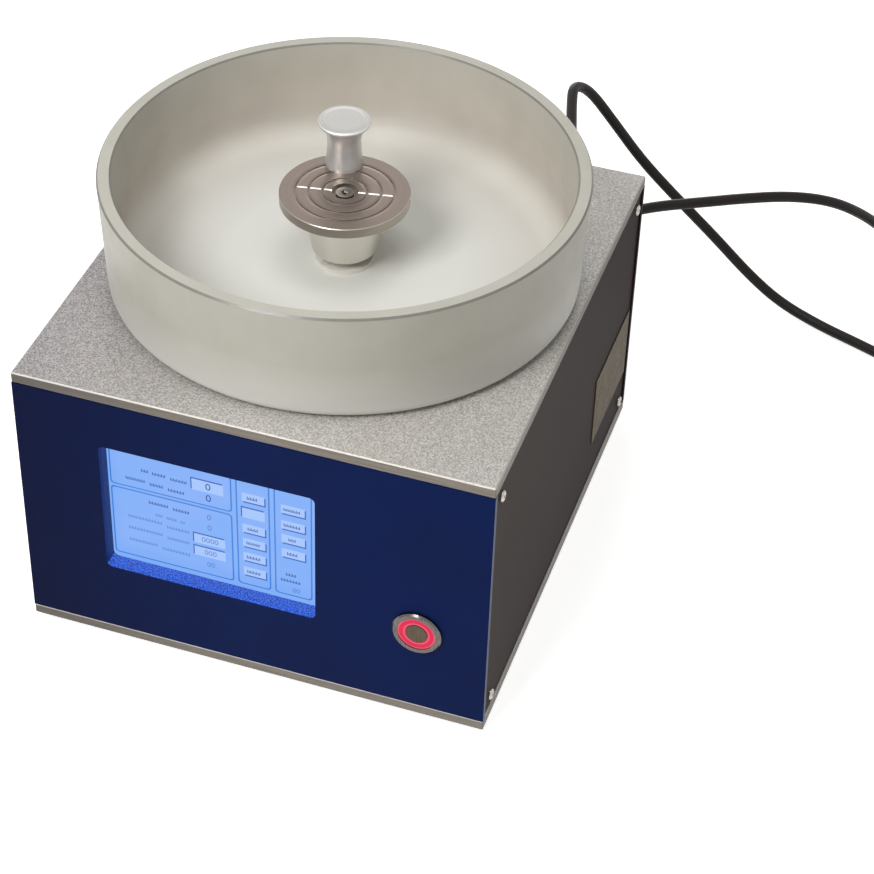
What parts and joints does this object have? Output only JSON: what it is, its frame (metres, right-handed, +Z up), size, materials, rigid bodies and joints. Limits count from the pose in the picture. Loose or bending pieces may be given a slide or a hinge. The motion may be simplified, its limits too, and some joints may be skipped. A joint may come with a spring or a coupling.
{
  "type": "spin coater",
  "caption": "Bench spin coater: flat rectangular case with a touch screen and a lit push button, and on top an open frosted glass bowl around a grooved vacuum chuck with a small loose chuck.",
  "frame": {"origin": "on the bench under the middle of the case, below the spindle's axis", "axes": "+X to the right seen from the front, +Y to the rear, +Z up; the screen and the button face -Y"},
  "size_m": [0.513, 0.5857, 0.2345],
  "materials": {
    "plate": "sandblasted aluminium, fine silver-grey grain",
    "navy_paint": "smooth dark blue powder coat",
    "side_paint": "satin dark warm grey coat",
    "rear_paint": "satin dark warm grey coat",
    "post": "mill finish aluminium",
    "steel_screw": "stainless screws",
    "black_screw": "black oxide screws",
    "rubber": "black rubber",
    "label": "blank satin film label",
    "frosted_glass": "moulded frosted glass, milky and satin",
    "collar": "turned white PTFE",
    "nylon_screw": "white nylon screws",
    "chuck_alloy": "fine turned, dark satin aluminium",
    "small_chuck_alloy": "bright satin turned aluminium",
    "steel": "ground steel",
    "motor_black": "black painted motor can",
    "laminations": "laminated steel",
    "magnet": "magnet rotor",
    "brass": "turned brass",
    "tube": "blue soft tube",
    "valve": "black moulded valve",
    "fitting": "nickel plated fitting",
    "supply": "folded metal supply case, light inside",
    "board": "green circuit board",
    "wire": "insulated wire",
    "screen_frame": "dark blue moulded frame",
    "touch_glass": "lit touch screen glass",
    "lcd": "screen panel",
    "bracket": "zinc plated strap",
    "stainless": "brushed stainless",
    "ring_light": "red translucent ring, lit",
    "cap": "dark brushed stainless",
    "black_plastic": "black moulded plastic",
    "rocker": "black glossy rocker",
    "fan": "black fan",
    "guard_wire": "plated wire",
    "cord": "black cord",
    "hose": "black hose"
  },
  "bodies": {
    "root": {"top_plate": "plate", "bottom_plate": "plate", "front_panel": "navy_paint", "rear_panel": "rear_paint", "side_panel_left": "side_paint", "side_panel_right": "side_paint", "corner_posts": "post", "tie_screws": "black_screw", "panel_fasteners": "steel_screw", "rubber_feet": "rubber", "side_label": "label", "bowl": "frosted_glass", "bowl_gasket": "rubber", "bowl_collar": "collar", "collar_screws": "nylon_screw", "motor_housing": "motor_black", "motor_end_bell": "motor_black", "motor_stator": "laminations", "bearing_outer_rings": "steel", "motor_standoffs": "post", "motor_screws": "black_screw", "rotary_union": "brass", "vacuum_tubes": "tube", "vacuum_valve": "valve", "hose_bulkhead": "fitting", "power_supply": "supply", "control_board": "board", "driver_board": "board", "board_standoffs": "brass", "wiring": "wire", "display_frame": "screen_frame", "touch_glass": "touch_glass", "lcd_panel": "lcd", "display_board": "board", "display_brackets": "bracket", "button_bezel": "stainless", "button_light_ring": "ring_light", "button_switch_body": "black_plastic", "button_spring": "steel", "button_nut": "stainless", "mains_inlet": "black_plastic", "mains_connector": "black_plastic", "fan_frame": "fan", "fan_guard": "guard_wire", "mains_lead": "cord", "mains_coil": "cord", "mains_plug": "black_plastic", "vacuum_hose": "hose", "hose_coil": "hose", "hose_end_fitting": "fitting"},
    "rotor": {"chuck": "chuck_alloy", "chuck_screw": "steel", "chuck_o_ring": "rubber", "motor_spindle": "steel", "bearing_inner_rings": "steel", "motor_rotor": "magnet"},
    "small_chuck": {"small_chuck": "small_chuck_alloy"},
    "button": {"button_cap": "cap"},
    "rocker": {"power_rocker": "rocker"},
    "fan": {"fan_rotor": "fan"}
  },
  "joints": [
    {"name": "chuck_spin", "type": "hinge", "parent": "root", "child": "rotor", "pos_m": [0, 0, 0], "axis": [0, 0, 1], "continuous": true},
    {"name": "small_chuck_lift", "type": "slide", "parent": "rotor", "child": "small_chuck", "axis": [0, 0, 1], "range_m": [0, 0.04]},
    {"name": "button_press", "type": "slide", "parent": "root", "child": "button", "axis": [0, 1, 0], "range_m": [0, 0.0015], "stiffness_N_per_m": 1500, "springref_m": -0.0005, "deforming": ["button_spring"]},
    {"name": "rocker_tilt", "type": "hinge", "parent": "root", "child": "rocker", "pos_m": [0.064, 0.129, 0.102], "axis": [1, 0, 0], "range_deg": [-18, 0]},
    {"name": "fan_spin", "type": "hinge", "parent": "root", "child": "fan", "pos_m": [-0.062, 0.12, 0.078], "axis": [0, 1, 0], "continuous": true}
  ]
}
